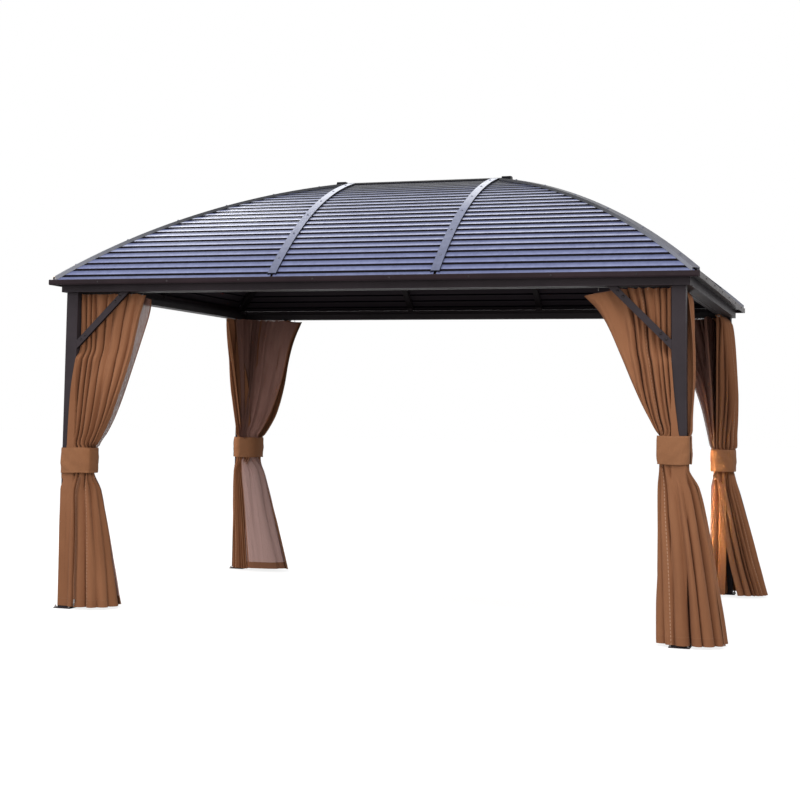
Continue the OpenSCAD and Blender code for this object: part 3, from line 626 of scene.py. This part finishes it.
HANG = {
    "front_left": dict(
        COMMON, band=0.826, seed=3, bundle=0.15, held=0.036, side=-0.042, bulge=0.05,
        free=[(1.0, 0.485), (0.86, 0.45), (0.56, 0.385), (0.32, 0.32), (0.13, 0.245), (0.03, 0.18)],
        cover=[(0.98, -0.006), (1.2, 0.0), (1.36, 0.01), (1.48, 0.027), (1.59, 0.046)], forward=(1.62, 1.5),
        pleats=(1.9, 1.3, 2.0, 1.0, 1.7, 0.8, 0.9, 0.5), folds=(0, 0.25, 1.3, 0.25, 1.3, 0.3, 1.4, 1.0, 0),
        hem=(0.8, 2.6, 1.7, 1.5, 1.6, 1.1, 0.8, 0.8), creases=(0, 1.4, 0.4, 0.5, 0.35, 0.9, 1.1, 1.3, 0),
        skirt=(-0.052, 0.318, -0.088, 0.262), zip=0.107, net_in=0.03, net_out=0.024),
    "front_right": dict(
        COMMON, band=0.972, seed=11, bundle=0.112, held=0.043, side=-0.047, bulge=0.082,
        free=[(1.0, 0.53), (0.85, 0.445), (0.54, 0.332), (0.31, 0.247), (0.1, 0.165), (0.03, 0.13)],
        pleats=(4.2, 1.3, 1.5, 0.9, 1.4, 0.8, 0.8, 0.6), folds=(0, 0.2, 0.95, 0.25, 1.05, 0.25, 1.2, 0.85, 0),
        hem=(0.8, 1.7, 2.4, 1.2, 1.8, 1.0, 1.3, 0.8), creases=(0, 1.5, 1.4, 0.5, 1.0, 1.4, 0.8, 1.4, 0),
        skirt=(-0.25, 0.156, -0.09, 0.292), flare=0.64, droop=(0.045, 0.008, 7)),
    "back_left": dict(
        BACK, band=0.866, seed=23, bundle=0.166, held=0.036, side=0.012, bulge=0.04,
        free=[(1.0, 0.5), (0.81, 0.437), (0.48, 0.373), (0.2, 0.289), (0.06, 0.22), (0.02, 0.195)],
        short=[(1.0, 0.37), (0.88, 0.34), (0.6, 0.27), (0.34, 0.21), (0.12, 0.16), (0.03, 0.14)],
        hem=(1.2, 1.4, 1.0, 1.3, 0.9, 1.4, 1.0, 1.2), skirt=(-0.036, 0.43, -0.088, 0.17),
        wrap=(6, -150, 104, 190), nets=(100, -50, 55, 95), lap=0,
        tuck=((0.162, 0.012), (0.166, 0.0)), short_spread=0.7),
    "back_right": dict(
        BACK, band=0.855, seed=31, bundle=0.096, held=0.05, side=-0.054, bulge=0.105,
        free=[(1.0, 0.5), (0.8, 0.36), (0.48, 0.22), (0.3, 0.165), (0.1, 0.125), (0.03, 0.11)],
        hem=(1.3, 1.4, 1.0, 1.3, 0.9, 1.4, 1.0, 1.2), skirt=(-0.29, 0.127, -0.088, 0.242),
        wrap=(70, -158, 92, 203), nets=(-40, 10, -10, 30), net_spread=0.6, short_spread=0.6),
}


def fan_levels(hang, edges):
    """Over the band, each share of the way up to the rail, with its height and the free edge there."""
    low = hang["band"] + BAND_H
    for up, edge in zip(UPS, between(*zip(*sorted(edges)), UPS)):
        yield up, low + (CLOTH_TOP - low) * up, edge


def skirt_levels(hang, raised=0.0):
    """Heights from the hem up, with how far the skirt has opened at each."""
    for level in LEVELS:
        z = HEM_Z + raised + (hang["band"] - BAND_GAP - HEM_Z) * level
        yield z, (1 - level) ** hang["flare"]


def skirt_line(hang, spread, start, stop):
    """A part of the skirt's oval, between its shape under the band and that at the hem."""
    gathered = (-hang["held"] - 0.005, hang["bundle"] + 0.005, -POST_HALF - 0.012, BACK_Q)
    return ring(*(a + (b - a) * spread for a, b in zip(gathered, hang["skirt"])), start, stop)


def eased(t):
    t = min(max(t, 0.0), 1.0)
    return t * t * (3 - 2 * t)


def uneven(rand, count):
    """Pleat widths, some broad and some narrow."""
    return [rand.choice((0.5, 0.8, 1.0, 1.5, 2.0)) * rand.uniform(0.85, 1.15) for _ in range(count)]


def fold_depths(rand, count):
    """How deep the folds between pleats are, some soft and some deep."""
    return [rand.choice((0.5, 0.8, 1.0, 1.3)) * rand.uniform(0.9, 1.1) for _ in range(count + 1)]


def long_curtain(corner, hang):
    """The curtain of the long side, from the rail through the tie band to the hem. Below the brace it comes
    forward and over the front of the post."""
    start, stop = hang["wrap"][:2]
    low = hang["band"] + BAND_H
    rand = random.Random(hang["seed"] + 100)
    wide, deep = np.array(hang["pleats"]) / sum(hang["pleats"]), hang["folds"]
    even, low_deep = hang["hem"], hang["creases"]
    count = len(wide)
    tight = np.array([1.3] + [rand.uniform(0.7, 1.3) for _ in range(count - 1)]) / count
    covers = hang["cover"]
    behind, ahead = hang["forward"]
    stations = []
    for up, z, edge in fan_levels(hang, hang["free"]):
        post_q = RAIL_Q + (FRONT_Q - RAIL_Q) * eased((behind - z) / (behind - ahead))
        post_p = POST_EDGE if z > covers[-1][0] else float(between(*zip(*covers), [z])[0])
        q_mid = RAIL_Q + (FRONT_Q - 0.004 - RAIL_Q) * eased((behind + 0.06 - z) / 0.45)
        q_free = q_mid + 0.02 + 0.04 * (1 - up)
        lip = max(post_p + 0.03, 0.052)
        line = [(edge, q_free), (edge * 0.96 + 0.002, q_mid), ((edge + lip) / 2, q_mid),
                (lip, post_q), (post_p, post_q)]
        gather = min(1.0, (1 - up) * 1.1)
        share = wide * (1 - gather) + tight * gather
        stations.append((z, line, share, [d * (0.07 + 0.012 * gather) for d in deep]))
    b, held, foot = hang["bundle"], hang["held"], covers[0][1]
    tuck = hang["tuck"] or ((b * 0.8, 0.1), (b, 0.06))
    for z, part in ((low - 0.012, 0.15), (low - 0.077, 0.5), (hang["band"] - 0.012, 1.0)):
        reach = foot + (-held - foot) * part
        line = [*tuck, (b, -0.02), (b - 0.012, FRONT_Q), (0.04, FRONT_Q), (reach, FRONT_Q)]
        stations.append((z, line, tight, [min(0.06, b * 0.45) * d for d in deep]))
    for z, spread in skirt_levels(hang):
        share = np.array(even) / sum(even) * spread + tight / sum(tight) * (1 - spread)
        line = skirt_line(hang, spread, start + hang["lap"] * (1 - spread), stop)
        stations.append((z, line, share, [d * (0.05 + 0.046 * spread) for d in low_deep]))
    return Sheet(corner, stations, 1, hang["seed"], hang["droop"])


def short_curtain(corner, hang):
    """The curtain of the short side."""
    start, stop = hang["wrap"][2:]
    low = hang["band"] + BAND_H
    rand = random.Random(hang["seed"] + 200)
    wide, even = uneven(rand, SHORT_PLEATS), uneven(rand, SHORT_PLEATS)
    deep, low_deep = fold_depths(rand, SHORT_PLEATS), fold_depths(rand, SHORT_PLEATS)
    bulge, side = hang["bulge"], hang["side"]
    low_out = min(side, -bulge * 0.8) if side < 0 else side - 0.02
    stations = []
    for up, z, edge in fan_levels(hang, hang["short"]):
        out = RAIL_Q + (-bulge - RAIL_Q) * (1 - up) ** 0.22 if up < 1 else RAIL_Q - 0.012
        if up <= 0.4:
            out += (low_out - out) * min(1.0, (0.4 - up) / 0.3)
        back = 0.04 * (1 - up)
        start_q = POST_EDGE - 0.03 * (1 - up) ** 2
        out_post = min(out, -POST_EDGE) if up < 0.75 and side < 0 else out
        line = [(0.02 + back, edge), (out * 0.6, edge), (out, edge * 0.7),
                (out_post, start_q + 0.04), (out_post, start_q)]
        stations.append((z, line, wide, [d * (0.058 + 0.02 * (1 - up)) for d in deep]))
    for z, reach in ((low - 0.01, 0.0), (low - 0.077, -0.02), (hang["band"] - 0.012, -0.036)):
        if side < 0:
            line = [(0.06, 0.132), (-0.01, 0.134), (side, 0.11), (side - 0.002, 0.05), (side - 0.002, reach)]
        else:
            line = [(0.12, 0.132), (0.06, 0.136), (side, 0.12), (-0.01, 0.08), (-0.03, 0.052)]
        stations.append((z, line, even, [0.05 * d for d in deep]))
    for z, spread in skirt_levels(hang):
        line = skirt_line(hang, spread, start - hang["lap"] * (1 - spread), stop)
        stations.append((z, line, even, [d * (0.06 + 0.03 * spread) for d in low_deep]))
    return Sheet(corner, stations, -1, hang["seed"] + 1, (0.03, 0.006, 6))


def net_pleats(rand, soft):
    """Widths and depths of a net's pleats: broad ones between the soft folds given, then narrow deep ones."""
    broad = [rand.uniform(2.0, 3.2) for _ in soft[1:]]
    narrow = [rand.uniform(0.35, 0.6) for _ in range(NARROW_PLEATS)]
    return broad + narrow, [*soft, *(rand.uniform(1.0, 1.4) for _ in range(NARROW_PLEATS))]


def net(corner, hang, stations, pleats, held, angles, opening, seed, droop):
    """A net from its stations over the band, with those in the band and in its skirt added."""
    share, deep = pleats
    start, stop = angles
    line, flat = held
    upper, lower = hang["band"] + BAND_H - BAND_IN, hang["band"] + BAND_IN
    for z, way in ((upper, 1), (lower, -1 if start > stop else 1)):
        stations.append((z, line[::way], share, [d * flat for d in deep]))
    for z, spread in skirt_levels(hang, NET_RAISED):
        line = skirt_line(hang, spread * opening, start, stop)
        stations.append((z, line, share, [d * (0.026 + 0.014 * spread) for d in deep]))
    return Sheet(corner, stations, 1 if start > stop else -1, hang["seed"] + seed, droop, **NET_CLOTH)


def long_net(corner, hang):
    """The insect net behind the long curtain."""
    share, deep = pleats = net_pleats(random.Random(hang["seed"] + 300), (0.0, 0.25, 0.5, 0.9))
    stations = []
    for up, z, edge in fan_levels(hang, hang["free"]):
        q = 0.082 + 0.025 * (1 - up)
        reach = edge - (0.006 + hang["net_in"]) * (1 - up)
        reach += hang["net_out"] * math.sin(math.pi * up ** 4)
        line = [(reach, q + 0.006), ((reach + POST_EDGE) / 2, q + 0.01), (POST_EDGE, q)]
        stations.append((z, line, share, [d * 0.036 for d in deep]))
    b = hang["bundle"]
    held = [(b * 0.93, POST_EDGE), (b * 0.78, 0.1), (0.05, 0.114)], 0.01
    return net(corner, hang, stations, pleats, held, hang["nets"][:2], hang["net_spread"], 2, (0.035, 0.004, 7))


def short_net(corner, hang):
    """The insect net behind the short curtain."""
    share, deep = pleats = net_pleats(random.Random(hang["seed"] + 400), (0.0, 0.35, 0.9))
    stations = []
    for up, z, edge in fan_levels(hang, hang["short"]):
        p = 0.062 + 0.02 * up
        line = [(p, edge), (p + 0.008, (edge + POST_EDGE) / 2), (p, POST_EDGE)]
        stations.append((z, line, share, [d * (0.01 + 0.03 * up) for d in deep]))
    held = [(0.058, 0.128), (0.052, 0.09), (0.05, POST_EDGE)], 0.008
    return net(corner, hang, stations, pleats, held, hang["nets"][2:], hang["short_spread"], 5, (0.02, 0.004, 6))


def tie_band(corner, hang):
    """The strap that holds the bundle to the post, lapped over its own end."""
    b, held, side = hang["bundle"], hang["held"], hang["side"]
    rand = random.Random(hang["seed"] + 500)
    loop = [(-held - 0.012, 0.04), (-held - 0.012, -0.035), (-held + 0.004, FRONT_Q - 0.007), (0.03, FRONT_Q - 0.008),
            (b - 0.004, FRONT_Q - 0.005), (b + 0.009, -0.026), (b + 0.009, 0.06), (b * 0.86, 0.118), (0.06, 0.142),
            (side + 0.024, 0.144), (side - 0.006, 0.124), (-held - 0.015, 0.04), (-held - 0.015, -0.01)]
    line = path(loop, 241)
    slope = np.gradient(line, axis=0)
    slope /= np.linalg.norm(slope, axis=1, keepdims=True)
    normal = np.column_stack([slope[:, 1], -slope[:, 0]])
    at = lengths(line)
    rows, shift = 17, rand.uniform(0, 40)
    grid, uv = [], []
    for r in range(rows):
        h = r / (rows - 1)
        for k in range(len(line)):
            t = at[k]
            crease = noise.noise((t * 16 + h * 3.2 + shift, h * 2.4, shift)) * 0.0035
            fine = noise.noise((t * 55 + shift, h * 9, 2.0)) * 0.0012
            belly = 0.003 * math.sin(math.pi * h)
            p = line[k] + normal[k] * (crease + fine + belly)
            lift = 0.004 * noise.noise((t * 7 + shift, 7.7, 0.0))
            grid.append((p[0], p[1], hang["band"] + BAND_H * h + lift))
            uv.append((t / UV_UNIT, BAND_H * h / UV_UNIT))
    points = to_world(corner, grid)
    name = "strap_" + corner
    obj = piece(name, points, grid_faces(rows, len(line)), "band_cloth", True, uv)
    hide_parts("tie_band_" + corner)


def circle(radius, count, height=0.0):
    """Points round the upright axis."""
    turns = [math.tau * k / count for k in range(count)]
    return [Vector((radius * math.cos(t), radius * math.sin(t), height)) for t in turns]


class Batch:
    """Many small parts gathered into one piece."""

    def __init__(self):
        self.points, self.faces = [], []

    def grid(self, rows):
        """Faces over rings of points."""
        base, cols = len(self.points), len(rows[0])
        for row in rows:
            self.points.extend(tuple(p) for p in row)
        for r in range(len(rows) - 1):
            here, above = base + r * cols, base + (r + 1) * cols
            for c in range(cols):
                d = (c + 1) % cols
                self.faces.append((here + c, here + d, above + d, above + c))
        return base, cols

    def lathe(self, at, axis, profile, count=18):
        """A turned shape on an axis, from pairs of radius and height; the last ring is closed."""
        turn = UP.rotation_difference(Vector(axis)).to_matrix()
        rows = [[Vector(at) + turn @ p for p in circle(radius, count, height)] for radius, height in profile]
        base, cols = self.grid(rows)
        self.faces.append(tuple(base + (len(rows) - 1) * cols + c for c in range(cols)))

    def tube(self, line, radius, count=8):
        """A round wire along a line, with closed ends."""
        line = [Vector(p) for p in line]
        rows = []
        for k, p in enumerate(line):
            ahead = (line[min(k + 1, len(line) - 1)] - line[max(k - 1, 0)]).normalized()
            turn = UP.rotation_difference(ahead).to_matrix()
            rows.append([p + turn @ spot for spot in circle(radius, count)])
        base, cols = self.grid(rows)
        self.faces.append(tuple(base + c for c in reversed(range(cols))))
        self.faces.append(tuple(base + (len(rows) - 1) * cols + c for c in range(cols)))

    def build(self, name, finish, slot):
        return piece(name, self.points, self.faces, finish)


def zip_line(corner, hang, sheet):
    """A zip sewn down the skirt, with its tape, teeth and pull."""
    top, low = hang["band"] - 0.02, 0.05
    front = [c for c in range(2, sheet.grid.shape[1] - 2) if sheet.grid[0, c, 1] < 0]
    c = min(front, key=lambda k: abs(sheet.grid[0, k, 0] - hang["zip"]))
    rows = [r for r in range(len(sheet.heights)) if low <= sheet.heights[r] <= top]
    tape, teeth = [], []
    for r in rows:
        here = sheet.grid[r, c]
        t = sheet.grid[r, c + 2, :2] - sheet.grid[r, c - 2, :2]
        t = t / max(np.linalg.norm(t), 1e-9)
        n = np.array([-t[1], t[0]])
        if n[1] > 0:
            n = -n
        for strip, half, lift in ((tape, 0.011, 0.0022), (teeth, 0.003, 0.0042)):
            for k in (-1, 0, 1):
                spot = here[:2] + t * half * k + n * (lift + (0.0012 if k == 0 else 0))
                strip.append((spot[0], spot[1], here[2]))
    parts = []
    for name, strip, finish in (("zip_tape", tape, "zip_tape"), ("zip_teeth", teeth, "zip_coil")):
        points = to_world(corner, strip)
        parts.append(piece(name + "_" + corner, points, grid_faces(len(rows), 3), finish))
    last = np.array(teeth[1])
    made = Batch()
    body = [(-0.003, 0.01), (-0.004, 0.0), (-0.004, -0.006), (-0.006, -0.012), (-0.006, -0.03)]
    for dx in (-0.0028, 0.0, 0.0028):
        made.tube(to_world(corner, [last + np.array([dx, *b]) for b in body]), 0.0019)
    parts.append(made.build("zip_pull_" + corner, "bolt_steel", "curtain_cloth"))
    return parts


DRAPES = {}
for corner, hang in HANG.items():
    long_drape, short_drape = DRAPES[corner] = long_curtain(corner, hang), short_curtain(corner, hang)
    zips = zip_line(corner, hang, long_drape) if hang["zip"] else []
    long_drape.build("drape_long", "curtain_cloth", "curtain", zips)
    short_drape.build("drape_short", "curtain_cloth", "curtain")
    long_net(corner, hang).build("net_long", "netting_cloth", "netting")
    short_net(corner, hang).build("net_short", "netting_cloth", "netting")
    tie_band(corner, hang)


# Fasteners and small fittings
OVER, BESIDE = 4.0, 6.0
RIB_GAP = 0.2
CAP_SCREW, CAP_PITCH, HIP_SCREWS = 0.0052, 0.24, 6
TRIM_SCREW, TRIM_PITCH = 0.0042, 0.42
BRACE_BOLT = 0.006
HOOKS, HOOK_WIRE = 8, 0.0015

# A screw's profile by its radius, those of an anchor in metres, and a hook as its reach and its drop from the rail
PAN_HEAD = ((1.5, 0.22), (1.05, 0.26), (1.0, 0.5), (0.8, 0.78), (0.45, 0.9), (0.36, 0.9), (0.3, 0.5), (0.05, 0.45))
WASHER = ((0.0085, 0.0), (0.0085, 0.0014), (0.004, 0.0016))
NUT = ((0.0065, 0.0014), (0.0072, 0.0022), (0.0072, 0.0064), (0.0062, 0.0074), (0.0042, 0.0074))
STUD = ((0.004, 0.006), (0.004, 0.0125), (0.003, 0.0138), (0.001, 0.0138))
HOOK = ((0.0133, 0.0), (0.0133, 0.007), (0.0118, 0.014), (0.006, 0.019), (0.0005, 0.0165), (-0.001, 0.011))


def surface(name):
    mesh = nodes[name].data
    return BVHTree.FromPolygons([v.co for v in mesh.vertices], [list(f.vertices) for f in mesh.polygons])


def screw(batch, tree, spot, way, radius, least=-2.0):
    """A screw with a washer and a low recessed head, where a ray meets a surface that faces up at least so far."""
    at, normal, _, _ = tree.ray_cast(spot, way)
    if at and normal.z > least:
        head = [(wide * radius, high * radius) for wide, high in PAN_HEAD]
        batch.lathe(at, normal, [(1.5 * radius, -0.0005), *head])


def screw_rows():
    """Screws down the caps over the roof joints, and along the eave trim."""
    caps, trims = Batch(), Batch()
    for node in [n for n in nodes if n.startswith("rib_caps_")]:
        tree = surface(node)
        spots = [v.co for v in nodes[node].data.vertices]
        across = sorted({round(co.x, 2) for co in spots})
        ribs = [[across[0]]]
        for x in across[1:]:
            if x - ribs[-1][-1] > RIB_GAP:
                ribs.append([])
            ribs[-1].append(x)
        first, last = min(co.y for co in spots), max(co.y for co in spots)
        steps = max(2, round((last - first) / CAP_PITCH))
        for rib in ribs:
            x = (rib[0] + rib[-1]) / 2
            for k in range(steps):
                y = first + (last - first) * (k + 0.5) / steps
                screw(caps, tree, Vector((x, y, OVER)), DOWN, CAP_SCREW, 0.5)
    hips = surface("hip_caps")
    for sx, sy in sorted(CORNERS.values()):
        for k in range(HIP_SCREWS):
            d = 0.12 + (ROOF_W / 2 - 0.3) * k / (HIP_SCREWS - 1)
            spot = Vector((ROOF_X + sx * (ROOF_L / 2 - d), sy * (ROOF_W / 2 - d), OVER))
            screw(caps, hips, spot, DOWN, CAP_SCREW, 0.4)
    for side, out in (("front", (0, -1, 0)), ("back", (0, 1, 0)), ("left", (-1, 0, 0)), ("right", (1, 0, 0))):
        lo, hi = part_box("eave_trim_" + side)
        tree = surface("eave_trim_" + side)
        out = Vector(out)
        z = lo.z + (hi.z - lo.z) * 0.45
        long = hi.x - lo.x if out.x == 0 else hi.y - lo.y
        count = int(long / TRIM_PITCH)
        for k in range(count):
            along = -long / 2 + long * (k + 0.5) / count
            spot = Vector((ROOF_X + along, 0, z)) if out.x == 0 else Vector((ROOF_X, along, z))
            screw(trims, tree, spot + out * BESIDE, -out, TRIM_SCREW)
    caps.build("cap_screws", "bolt_roof", "cap_plastic")
    trims.build("trim_screws", "bolt_dark", "trim_coat")


def brace_bolts():
    """Two dome-headed bolts at each end of every brace."""
    bolts = Batch()
    for corner, (sx, sy) in CORNERS.items():
        tree = surface("braces_" + corner.split("_")[0])
        for p, drop in ((0.066, 0.292), (0.096, 0.262), (0.3, 0.058), (0.33, 0.028)):
            spot = Vector((POSTS[corner][0] - sx * p, sy * OVER, BEAM_BOTTOM - drop))
            screw(bolts, tree, spot, Vector((0, -sy, 0)), BRACE_BOLT)
    bolts.build("brace_bolts", "bolt_dark", "frame_coat")


def anchors():
    """An anchor in each hole of the base plates: washer, hexagon nut and the end of its stud."""
    made = Batch()
    for corner in CORNERS:
        px, py = POSTS[corner]
        tree = surface("post_" + corner)
        for sx, sy in sorted(CORNERS.values()):
            x, y, top = px + sx * ANCHOR, py + sy * ANCHOR, 0.0
            for nudge in (0.0056, -0.0056):
                at = tree.ray_cast(Vector((x + nudge, y, 0.3)), DOWN)[0]
                top = max(top, at.z if at else 0.0)
            for profile, sides in ((WASHER, 24), (NUT, 6), (STUD, 14)):
                made.lathe((x, y, top), UP, profile, sides)
    made.build("anchor_nuts", "bolt_steel", "frame_coat")


def curtain_hooks():
    """Wire hooks from the rail into the top hem at the folds of each curtain."""
    for corner, sheets in DRAPES.items():
        made = Batch()
        for which, sheet in enumerate(sheets):
            top = sheet.grid[-1]
            for k in range(HOOKS):
                run = top[int((k + 0.5) / HOOKS * (len(top) - 1))][which]
                if run < 0.06:
                    continue
                bend = [(reach, RAIL_BOTTOM - drop) for reach, drop in HOOK]
                line = [(run, a, h) if which == 0 else (a, run, h) for a, h in bend]
                made.tube(to_world(corner, line), HOOK_WIRE)
        made.build("curtain_hooks_" + corner, "bolt_steel", "rail_metal")


def closures():
    """Dark foam strips on the end beams, which close the gap under the roof sheets."""
    inset, half, height, beyond = 0.0213, 0.0075, 0.03, 0.03
    for side, out in (("left", -1), ("right", 1)):
        low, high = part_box("beam_" + side)
        x = (low.x if out < 0 else high.x) - out * inset
        y = high.y + beyond
        points = [(x + dx, dy, high.z + dz) for dx in (-half, half) for dy in (-y, y) for dz in (0.0, height)]
        faces = [(0, 1, 3, 2), (4, 6, 7, 5), (0, 4, 5, 1), (2, 3, 7, 6), (0, 2, 6, 4), (1, 5, 7, 3)]
        piece("closure_strip_" + side, points, faces, "trim_coat", False)


screw_rows()
brace_bolts()
anchors()
curtain_hooks()
closures()


# Floor, light and camera
def floor():
    """A pale floor that reads white and keeps a soft shadow."""
    s = Shader("floor_pale")
    s.tree.nodes.remove(s.surface)
    plain = s.add("ShaderNodeBsdfDiffuse", Color=(0.2, 0.2, 0.2, 1))
    pale = s.add("ShaderNodeBsdfDiffuse", Color=(0.3, 0.3, 0.3, 1))
    glow = s.add("ShaderNodeEmission", Strength=0.84)
    white = s.fill(s.add("ShaderNodeAddShader"), {0: pale.outputs[0], 1: glow.outputs[0]})
    s.to_camera(plain, white)
    mesh = bpy.data.meshes.new("floor")
    r, z = 60, -0.001
    mesh.from_pydata([(-r, -r, z), (r, -r, z), (r, r, z), (-r, r, z)], [], [(0, 1, 2, 3)])
    mesh.materials.append(s.mat)
    obj = bpy.data.objects.new("floor", mesh)
    bpy.context.scene.collection.objects.link(obj)


def world():
    """Even light all round, and plain white where the camera or a gloss sees past the floor."""
    s = Shader("studio", bpy.data.worlds)
    bpy.context.scene.world = s.mat
    s.set(Color=(0.93, 0.95, 1.0, 1), Strength=0.62)
    s.to_camera(s.surface, s.add("ShaderNodeBackground", Color=(1, 1, 1, 1)))


def lamp(name, at, to, size, power, colour=(1, 1, 1), spread=180):
    """A square lamp that points from one place to another, with its spread in degrees."""
    data = bpy.data.lights.new(name, "AREA")
    data.size = size
    data.energy = power
    data.color = colour
    data.spread = math.radians(spread)
    obj = bpy.data.objects.new(name, data)
    obj.location = at
    obj.rotation_euler = (Vector(to) - Vector(at)).to_track_quat("-Z", "Y").to_euler()
    bpy.context.scene.collection.objects.link(obj)


def camera():
    """The photograph's place of view."""
    yaw, pitch, roll = (math.radians(v) for v in (19.333, 4.789, 0.951))
    tilt = Matrix.Rotation(math.pi / 2 + pitch, 4, "X")
    turn = Matrix.Rotation(yaw, 4, "Z") @ tilt @ Matrix.Rotation(roll, 4, "Z")
    data = bpy.data.cameras.new("camera")
    data.sensor_width = 36
    data.lens = 69.08
    data.shift_x = 0.075
    data.shift_y = -0.14375
    obj = bpy.data.objects.new("camera", data)
    obj.matrix_world = Matrix.Translation((2.8724 + ROOF_X, -9.8462, 1.2152)) @ turn
    bpy.context.scene.collection.objects.link(obj)
    bpy.context.scene.camera = obj


floor()
world()
lamp("key", (7.0, -8.5, 8.0), (0, 0, 1.2), 5.0, 540, (1.0, 0.97, 0.93))
lamp("fill", (-8.0, -7.0, 5.0), (0, 0, 1.2), 6.0, 240, (0.96, 0.97, 1.0))
lamp("front", (1.5, -11.0, 1.6), (-1.2, 1.4, 0.7), 3.0, 190, (1.0, 0.97, 0.94))
lamp("rear", (-6.6, 6.3, 10.5), (-1.0, 0, 2.2), 3.0, 250)
lamp("sky", (-3.0, -4.5, 9.0), (-0.8, -0.6, 2.4), 4.0, 300)
lamp("warm", (-7.5, 1.2, 2.2), (1.5, 1.3, 0.9), 2.0, 170, (1.0, 0.7, 0.4))
lamp("glow", (-7.5, -1.2, 1.2), (1.6, 1.25, 0.7), 0.5, 7, (1.0, 0.68, 0.34), 8)
camera()
bpy.context.scene.view_settings.view_transform = "Standard"
